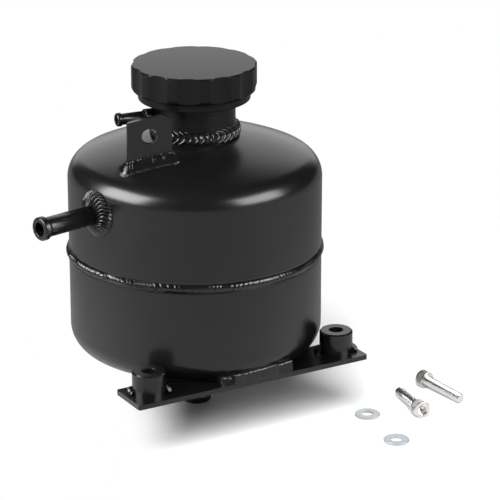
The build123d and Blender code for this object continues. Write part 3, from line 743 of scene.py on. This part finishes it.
knobForm = {
    "radius": 0.0307, "skirt": 0.0274, "chamfer": 0.0007, "crown": 0.0004, "lobeHeight": 0.0142,
    "lobeRound": 0.0031825, "bore": 0.02285, "ceiling": 0.0047, "spigot": 0.006, "spigotLength": 0.0056,
    "lobes": 12, "turn": 11.0, "scallopDepth": 0.0013, "scallopWidth": 0.0107, "soft": 0.0003,
    "edge": 0.0002, "boreEdge": 0.0003, "mouthEdge": 0.0006, "pole": 0.0001,
    "threadDepth": 0.0005, "threadMargin": 0.001, "threadSamples": 36, "steps": 600,
}
capTop = knobHigh[2]
capRim = capTop - knobForm["crown"]
lobeBottom = capTop - knobForm["lobeHeight"]
boreCeiling = capTop - knobForm["ceiling"]
spigotEnd = boreCeiling - knobForm["spigotLength"]
boreStart = knobLow[2] + knobForm["threadMargin"]
boreEnd = boreCeiling - knobForm["threadMargin"]
flatRadius = knobForm["radius"] - knobForm["chamfer"]
crownShares = np.linspace(0.004, 0.97, 10)  # from near the middle to near the rim
knobCorners = [
    *[(flatRadius * part, capTop - knobForm["crown"] * part**2, 0) for part in crownShares],
    (flatRadius, capRim, knobForm["edge"]),
    (knobForm["radius"], capRim - knobForm["chamfer"], knobForm["edge"]),
    (knobForm["radius"], lobeBottom, knobForm["lobeRound"]),
    (knobForm["skirt"], lobeBottom, knobForm["edge"] / 2),
    (knobForm["skirt"], knobLow[2], knobForm["mouthEdge"]),
    (knobForm["bore"], knobLow[2], knobForm["boreEdge"]),
    *wallSamples(knobForm["bore"], boreStart, boreEnd, knobForm["threadSamples"]),
    (knobForm["bore"], boreCeiling, knobForm["boreEdge"]),
    (knobForm["spigot"], boreCeiling, knobForm["boreEdge"]),
    (knobForm["spigot"], spigotEnd, knobForm["boreEdge"]),
    (knobForm["pole"], spigotEnd, 0),
]
knobPoints = turnPoints(roundedProfile(knobCorners, arcSteps=7), knobForm["steps"])
knobRadii = np.hypot(knobPoints[..., 0], knobPoints[..., 1])
halfWidth = knobForm["scallopWidth"] / 2
sag = sqrt(knobForm["radius"]**2 - halfWidth**2) - (knobForm["radius"] - knobForm["scallopDepth"])
scallopRadius = (halfWidth**2 + sag**2) / (2 * sag)
scallopAway = knobForm["radius"] - knobForm["scallopDepth"] + scallopRadius
lobePitch = 2 * pi / knobForm["lobes"]
offCentre = (turnOf(knobPoints) * 2 * pi - radians(knobForm["turn"])) % lobePitch - lobePitch / 2
underRoot = scallopRadius**2 - (scallopAway * np.sin(offCentre))**2

# A scallop is a circle whose centre lies scallopAway from the axis. At an angle offCentre from it, the
# cut lies at scallopAway * cos - sqrt(scallopRadius^2 - (scallopAway * sin)^2), and the smaller of that
# and the lobe's radius is taken, with a soft edge between the two.
scallopDeep = np.sqrt(np.maximum(underRoot, 0))
scallopEdge = np.where(underRoot > 0, scallopAway * np.cos(offCentre) - scallopDeep, 1.0)
softWidth = knobForm["soft"]
blend = np.clip(0.5 + (knobRadii - scallopEdge) / (2 * softWidth), 0, 1)
trimmed = knobRadii * (1 - blend) + scallopEdge * blend - softWidth * blend * (1 - blend)
trimmed = np.where(knobRadii > knobForm["skirt"] + knobForm["edge"], trimmed, knobRadii)
inBore = onWall(knobPoints, knobForm["bore"], boreStart, boreEnd)
knobGroove = threadGroove(knobPoints, boreStart, boreEnd, neckForm["threadPitch"])
knobPush = trimmed - knobRadii + inBore * (1 - knobGroove) * knobForm["threadDepth"]
knobPoints = axisPoint + pushOut(knobPoints, knobPush)
gridMesh("knob", knobPoints[:, ::-1], materials["capPaint"], "knob", ["cap_knob"], closeU=True)
print("neck and cap ready")


# Loose screws and washers on the floor beside the tank

screwForm = {
    "radius": 0.0025, "length": 0.025, "head": 0.00425, "headHeight": 0.005, "flats": 0.004,
    "depth": 0.0026, "edge": 0.0004, "socketEdge": 0.00025, "socketPoint": 0.0006, "pole": 0.0001,
    "pitch": 0.0008, "threadDepth": 0.0004, "threadLead": 0.001, "threadMargin": 0.0006,
    "threadFade": 0.0002, "threadSamples": 190, "ridges": 36, "ridgeDepth": 0.00022,
    "ridgeLow": 0.0006, "ridgeHigh": 0.0009, "ridgeSamples": 8, "steps": 144, "sharp": 48,
}
screwPlaces = [
    {"name": "farScrew", "x": 0.1107, "y": -0.0080, "turn": 97.9},
    {"name": "nearScrew", "x": 0.0883, "y": -0.0142, "turn": 259.1},
]
screwTop = screwForm["length"] + screwForm["headHeight"]
socketFloor = screwTop - screwForm["depth"]
socketHalf = screwForm["flats"] / 2
shankEnd = screwForm["length"] - screwForm["threadMargin"]
ridgeStart = screwForm["length"] + screwForm["ridgeLow"]
ridgeEnd = screwTop - screwForm["ridgeHigh"]
screwCorners = [
    (screwForm["pole"], 0, 0),
    (screwForm["radius"] - screwForm["edge"], 0, 0.0001),
    *wallSamples(screwForm["radius"], screwForm["edge"], shankEnd, screwForm["threadSamples"]),
    (screwForm["radius"], screwForm["length"], 0),
    (screwForm["head"], screwForm["length"], 0.0002),
    *wallSamples(screwForm["head"], ridgeStart, ridgeEnd, screwForm["ridgeSamples"]),
    (screwForm["head"], screwTop - screwForm["edge"], 0),
    (screwForm["head"] - screwForm["edge"], screwTop, 0.0002),
    (socketHalf + screwForm["socketEdge"], screwTop, 0),
    (socketHalf, screwTop - screwForm["socketEdge"], 0),
    (socketHalf, socketFloor, 0),
    (screwForm["pole"], socketFloor - screwForm["socketPoint"], 0),
]
screwPoints = turnPoints(roundedProfile(screwCorners), screwForm["steps"])
screwRadii = np.hypot(screwPoints[..., 0], screwPoints[..., 1])

# Thread on the shank: its groove starts ahead of the tip and fades out below the head
fadeEnd = shankEnd + screwForm["threadFade"]
screwGroove = threadGroove(screwPoints, -screwForm["threadLead"], fadeEnd, screwForm["pitch"])
threadCut = onWall(screwPoints, screwForm["radius"], 0, shankEnd) * screwGroove * screwForm["threadDepth"]

# Ridges round the head, and a socket whose radius grows from its flats to its six corners
ridge = np.abs(np.cos(turnOf(screwPoints) * pi * screwForm["ridges"]))
ridgeCut = onWall(screwPoints, screwForm["head"], ridgeStart, ridgeEnd) * ridge * screwForm["ridgeDepth"]
inSocket = screwRadii < socketHalf + screwForm["socketEdge"] + slack
inSocket = inSocket & (screwPoints[..., 2] > socketFloor - slack)
sixth = (turnOf(screwPoints) * 2 * pi) % (pi / 3) - pi / 6
cornerPush = inSocket * (1 / np.cos(sixth) - 1) * screwRadii
screwPoints = pushOut(screwPoints, cornerPush - threadCut - ridgeCut) - np.array([0, 0, screwTop / 2])

# A screw on the floor rests on its head and its tip
screwLean = np.arcsin((screwForm["head"] - screwForm["radius"]) / screwForm["length"])


# Points turned about Y by a tilt from upright, and then about Z by a turn
def laid(points, tilt, turn):
    aboutY = np.array([[cos(tilt), 0, sin(tilt)], [0, 1, 0], [-sin(tilt), 0, cos(tilt)]])
    aboutZ = np.array([[cos(turn), -sin(turn), 0], [sin(turn), cos(turn), 0], [0, 0, 1]])
    return points @ (aboutZ @ aboutY).T


for number, place in enumerate(screwPlaces):
    points = laid(screwPoints, pi / 2 - screwLean, radians(place["turn"]))
    points = points + np.array([place["x"], place["y"], floorHeight - points[..., 2].min()])
    replaced = ["mounting_screws"] if number == 0 else []
    screw = gridMesh(place["name"], points[:, ::-1], materials["nickel"], "tank", replaced, closeU=True)
    screw.data.set_sharp_from_angle(angle=radians(screwForm["sharp"]))

washerForm = {"radius": 0.0064, "hole": 0.0027, "thickness": 0.0012, "edge": 0.00025, "steps": 128}
washerPlaces = [
    {"name": "farWasher", "x": 0.0641, "y": -0.0120},
    {"name": "nearWasher", "x": 0.0593, "y": -0.0454},
]
washerProfile = roundedProfile([
    (washerForm["hole"], 0, washerForm["edge"] / 2),
    (washerForm["hole"], washerForm["thickness"], washerForm["edge"]),
    (washerForm["radius"], washerForm["thickness"], washerForm["edge"]),
    (washerForm["radius"], 0, washerForm["edge"] / 2),
])
washerPoints = turnPoints(washerProfile, washerForm["steps"])
for number, place in enumerate(washerPlaces):
    points = washerPoints + np.array([place["x"], place["y"], floorHeight])
    replaced = ["washers"] if number == 0 else []
    gridMesh(place["name"], points, materials["zinc"], "tank", replaced, closeU=True, closeV=True)
print("screws and washers ready")


# Camera, from the fit to the outlines of the photograph

view = {"turn": 29.04, "away": 1.22036, "height": 0.4891, "pitch": 19.83, "yaw": 1.27, "lens": 188.22}
toCamera = np.array([-sin(radians(view["turn"])), -cos(radians(view["turn"])), 0])
imageRight = np.array([cos(radians(view["turn"])), -sin(radians(view["turn"])), 0])
eye = axisPoint + toCamera * view["away"] + np.array([0, 0, view["height"]])
levelAhead = -toCamera * cos(radians(view["yaw"])) + imageRight * sin(radians(view["yaw"]))
cameraForward = levelAhead * cos(radians(view["pitch"])) - np.array([0, 0, 1]) * sin(radians(view["pitch"]))
cameraRight = np.cross(cameraForward, [0, 0, 1])
cameraRight = cameraRight / np.linalg.norm(cameraRight)
cameraUp = np.cross(cameraRight, cameraForward)
cameraData = bpy.data.cameras.new("camera")
cameraData.lens = view["lens"]
cameraData.sensor_width = 36
cameraData.clip_end = 20
camera = bpy.data.objects.new("camera", cameraData)
camera.matrix_world = Matrix([
    [cameraRight[0], cameraUp[0], -cameraForward[0], eye[0]],
    [cameraRight[1], cameraUp[1], -cameraForward[1], eye[1]],
    [cameraRight[2], cameraUp[2], -cameraForward[2], eye[2]],
    [0, 0, 0, 1],
])
bpy.context.scene.collection.objects.link(camera)
bpy.context.scene.camera = camera


# Floor: it holds the tank's shadow, and turns to plain white farther out

floorLook = {
    "near": 0.16, "far": 0.34, "seen": 0.95, "glow": 1.0, "mirrored": 0.55, "mirroredGlow": 0.62,
    "leftStart": 0.002, "leftFull": 0.038, "behind": [0.5, 0.57, 0.86, 1.2, 1.4, 1.25, 1.02],
    "right": 0.85, "half": 4, "drop": 0.00005,
}
floorMaterial = bpy.data.materials.new("floor")
floorMaterial.use_nodes = True
floorTree = floorMaterial.node_tree
floorTree.nodes.clear()
floorRays = addNode(floorTree, "LightPath")
floorPlace = addNode(floorTree, "TexCoord")
fromTank = addNode(floorTree, "VectorMath", operation="SUBTRACT")
floorTree.links.new(floorPlace.outputs["Object"], fromTank.inputs[0])
fromTank.inputs[1].default_value = (axisX, axisY, floorHeight)
away = addNode(floorTree, "VectorMath", operation="LENGTH")
floorTree.links.new(fromTank.outputs["Vector"], away.inputs[0])
spread = addNode(floorTree, "VectorMath", operation="NORMALIZE")
floorTree.links.new(fromTank.outputs["Vector"], spread.inputs[0])


# A float worked out from one or two others
def calculate(operation, *values):
    made = addNode(floorTree, "Math", operation=operation)
    for socket, value in zip(made.inputs, values):
        if isinstance(value, bpy.types.NodeSocket):
            floorTree.links.new(value, socket)
        else:
            socket.default_value = value
    return made.outputs[0]


# How far a vector socket points along a way
def measureAlong(socket, way):
    made = addNode(floorTree, "VectorMath", operation="DOT_PRODUCT")
    floorTree.links.new(socket, made.inputs[0])
    made.inputs[1].default_value = tuple(way)
    return made.outputs["Value"]


# A share from 0 to 1 between two values, soft at both
def smoothRange(value, low, high):
    limits = {"Value": value, "From Min": low, "From Max": high}
    return addNode(floorTree, "MapRange", limits, interpolation_type="SMOOTHSTEP").outputs["Result"]


# The camera sees the shadow only near the tank, and not on its left
far = smoothRange(away.outputs["Value"], floorLook["near"], floorLook["far"])
leftward = smoothRange(
    measureAlong(fromTank.outputs["Vector"], -imageRight), floorLook["leftStart"], floorLook["leftFull"],
)
onlySeen = calculate("MULTIPLY", leftward, floorRays.outputs["Is Camera Ray"])
fade = calculate("MAXIMUM", far, onlySeen)

# Reflections see a dimmer floor, by its direction from the tank: from behind, round to the camera
behindRamp = addNode(floorTree, "ValToRGB")
behindRamp.color_ramp.interpolation = "B_SPLINE"
lastShare = len(floorLook["behind"]) - 1
for i in range(1, lastShare):
    behindRamp.color_ramp.elements.new(i / lastShare)
for stop, share in zip(behindRamp.color_ramp.elements, floorLook["behind"]):
    stop.color = (share / 2, share / 2, share / 2, 1)
forwards = calculate("MULTIPLY_ADD", measureAlong(spread.outputs["Vector"], toCamera), 0.5, 0.5)
floorTree.links.new(forwards, behindRamp.inputs["Fac"])
rightward = calculate("MULTIPLY_ADD", measureAlong(spread.outputs["Vector"], imageRight), 0.5, 0.5)
lessRight = calculate("MULTIPLY_ADD", rightward, floorLook["right"] - 1, 1.0)
dimmer = calculate("MULTIPLY", calculate("MULTIPLY", behindRamp.outputs["Color"], 2.0), lessRight)


# The value for camera rays, or the dimmer one for all other rays
def byRay(seenValue, mirroredValue):
    mixed = addNode(floorTree, "Mix", {"Factor": floorRays.outputs["Is Camera Ray"]}, data_type="FLOAT")
    floorTree.links.new(calculate("MULTIPLY", dimmer, mirroredValue), mixed.inputs["A"])
    mixed.inputs["B"].default_value = seenValue
    return mixed.outputs["Result"]


lit = addNode(floorTree, "BsdfDiffuse", {"Color": byRay(floorLook["seen"], floorLook["mirrored"])})
glow = addNode(floorTree, "Emission", {"Strength": byRay(floorLook["glow"], floorLook["mirroredGlow"])})
mix = addNode(floorTree, "MixShader", {"Fac": fade})
floorTree.links.new(lit.outputs[0], mix.inputs[1])
floorTree.links.new(glow.outputs[0], mix.inputs[2])
addNode(floorTree, "OutputMaterial", {"Surface": mix.outputs[0]})
floorPoints = np.array([[[-1, -1, 0], [-1, 1, 0]], [[1, -1, 0], [1, 1, 0]]]) * floorLook["half"]
floorPoints = floorPoints + [axisX, axisY, floorHeight - floorLook["drop"]]
floor = gridMesh("floor", floorPoints, floorMaterial, None, smooth=False)


# Soft boxes, each seen from the tank at an azimuth to the right of the camera

boxLook = [
    {"name": "leftBox", "azimuth": -71, "elevation": 28.0, "width": 43, "height": 33, "radiance": 13.5},
    {"name": "spigotStrip", "azimuth": 79, "elevation": -3, "width": 24, "height": 8, "radiance": 9.0},
    {"name": "rightBox", "azimuth": 61, "elevation": 24.0, "width": 40, "height": 27, "radiance": 9.5},
]
boxAim = {"away": 1.6, "height": 0.07}

# The boxes light the object alone, the strip only the hose spigots, past the tank's side, and the
# sky lights the floor
allButFloor = bpy.data.collections.new("allButFloor")
allButFloor.objects.link(floor)
allButFloor.collection_objects[0].light_linking.link_state = "EXCLUDE"
spigotsOnly = bpy.data.collections.new("spigotsOnly")
for name in ("sideBarbTube", "overflowTube"):
    spigotsOnly.objects.link(bpy.data.objects[name])
for look in boxLook:
    flat = toCamera * cos(radians(look["azimuth"])) + imageRight * sin(radians(look["azimuth"]))
    boxWay = flat * cos(radians(look["elevation"])) + np.array([0, 0, 1]) * sin(radians(look["elevation"]))
    light = bpy.data.lights.new(look["name"], "AREA")
    light.shape = "RECTANGLE"
    light.size = 2 * boxAim["away"] * tan(radians(look["width"] / 2))
    light.size_y = 2 * boxAim["away"] * tan(radians(look["height"] / 2))
    light.energy = look["radiance"] * pi * light.size * light.size_y
    lamp = bpy.data.objects.new(look["name"], light)
    lamp.location = axisPoint + boxWay * boxAim["away"] + np.array([0, 0, boxAim["height"]])
    lamp.rotation_euler = Vector(boxWay).to_track_quat("Z", "Y").to_euler()
    if look["name"] == "spigotStrip":
        lamp.light_linking.receiver_collection = spigotsOnly
        lamp.light_linking.blocker_collection = spigotsOnly
    else:
        lamp.light_linking.receiver_collection = allButFloor
    bpy.context.scene.collection.objects.link(lamp)


# World: white for the camera, a bright wall behind and a dark room in front for reflections, and
# for diffuse rays a soft sky that leans towards the camera, so the shadow lies under the tank

roomLook = {
    "wall": 1.35, "room": 0.05, "wallTop": 60.0, "wallFull": 35.0, "sideStart": 0.86, "sideFull": 0.93,
}
skyLook = {"strength": 16.0, "forward": 42.0, "left": 6.0, "edge": 31.0, "full": 8.0}
world = bpy.data.worlds.new("room")
world.use_nodes = True
bpy.context.scene.world = world
worldTree = world.node_tree
worldTree.nodes.clear()
worldRays = addNode(worldTree, "LightPath")
worldPlace = addNode(worldTree, "TexCoord")
lookWay = worldPlace.outputs["Generated"]


# How far a direction agrees with a way, from 0 to high between two cosines
def facingWay(socket, way, start, full, high):
    agree = addNode(worldTree, "VectorMath", operation="DOT_PRODUCT")
    worldTree.links.new(socket, agree.inputs[0])
    agree.inputs[1].default_value = tuple(way)
    ramp = addNode(worldTree, "MapRange", {
        "Value": agree.outputs["Value"], "From Min": start, "From Max": full, "To Max": high,
    }, interpolation_type="SMOOTHSTEP")
    return ramp.outputs["Result"]


flattened = addNode(worldTree, "VectorMath", operation="MULTIPLY")
worldTree.links.new(lookWay, flattened.inputs[0])
flattened.inputs[1].default_value = (1, 1, 0)
flatWay = addNode(worldTree, "VectorMath", operation="NORMALIZE")
worldTree.links.new(flattened.outputs["Vector"], flatWay.inputs[0])
wallGlow = facingWay(
    flatWay.outputs["Vector"], -toCamera, roomLook["sideStart"], roomLook["sideFull"], roomLook["wall"],
)
below = facingWay(
    lookWay, (0, 0, -1), -sin(radians(roomLook["wallTop"])), -sin(radians(roomLook["wallFull"])), 1.0,
)
roomStrength = addNode(worldTree, "Math", operation="MULTIPLY_ADD")
worldTree.links.new(wallGlow, roomStrength.inputs[0])
worldTree.links.new(below, roomStrength.inputs[1])
roomStrength.inputs[2].default_value = roomLook["room"]
room = addNode(worldTree, "Background", {"Strength": roomStrength.outputs[0]})
skyForward = toCamera * tan(radians(skyLook["forward"]))
skyLeft = -imageRight * tan(radians(skyLook["left"]))
skyWay = skyForward + skyLeft + [0, 0, 1]
skyWay = skyWay / np.linalg.norm(skyWay)
overhead = facingWay(
    lookWay, skyWay, cos(radians(skyLook["edge"])), cos(radians(skyLook["full"])), skyLook["strength"],
)
sky = addNode(worldTree, "Background", {"Strength": overhead})
white = addNode(worldTree, "Background", {"Color": (1, 1, 1, 1), "Strength": 1.0})
roomOrSky = addNode(worldTree, "MixShader", {"Fac": worldRays.outputs["Is Diffuse Ray"]})
worldTree.links.new(room.outputs[0], roomOrSky.inputs[1])
worldTree.links.new(sky.outputs[0], roomOrSky.inputs[2])
seen = addNode(worldTree, "MixShader", {"Fac": worldRays.outputs["Is Camera Ray"]})
worldTree.links.new(roomOrSky.outputs[0], seen.inputs[1])
worldTree.links.new(white.outputs[0], seen.inputs[2])
addNode(worldTree, "OutputWorld", {"Surface": seen.outputs[0]})

bpy.context.scene.view_settings.view_transform = "Standard"
print("stage ready")
